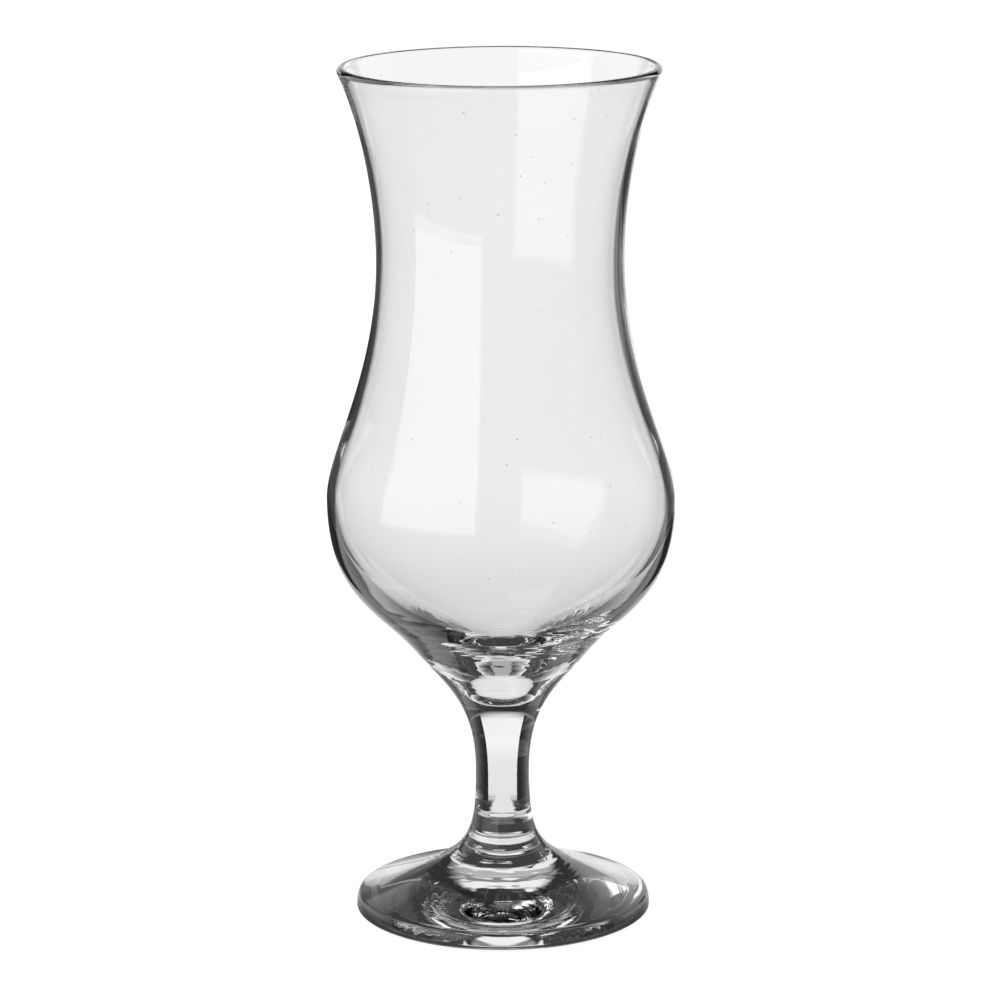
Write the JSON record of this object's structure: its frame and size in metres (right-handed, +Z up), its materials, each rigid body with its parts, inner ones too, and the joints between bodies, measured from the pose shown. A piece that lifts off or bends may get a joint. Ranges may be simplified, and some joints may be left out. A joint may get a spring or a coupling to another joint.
{
  "type": "hurricane glass",
  "caption": "Stemmed cocktail glass with a flared rim, narrow waist, round belly, short solid stem and round foot, for serving mixed drinks.",
  "frame": {"origin": "on the table plane, under the centre of the foot", "axes": "+Z up along the axis of revolution, from the foot to the rim"},
  "size_m": [0.083, 0.083, 0.205],
  "materials": {
    "clear_glass": "clear, fire-polished"
  },
  "bodies": {
    "root": {"bowl": "clear_glass", "stem": "clear_glass", "foot": "clear_glass"}
  },
  "joints": []
}
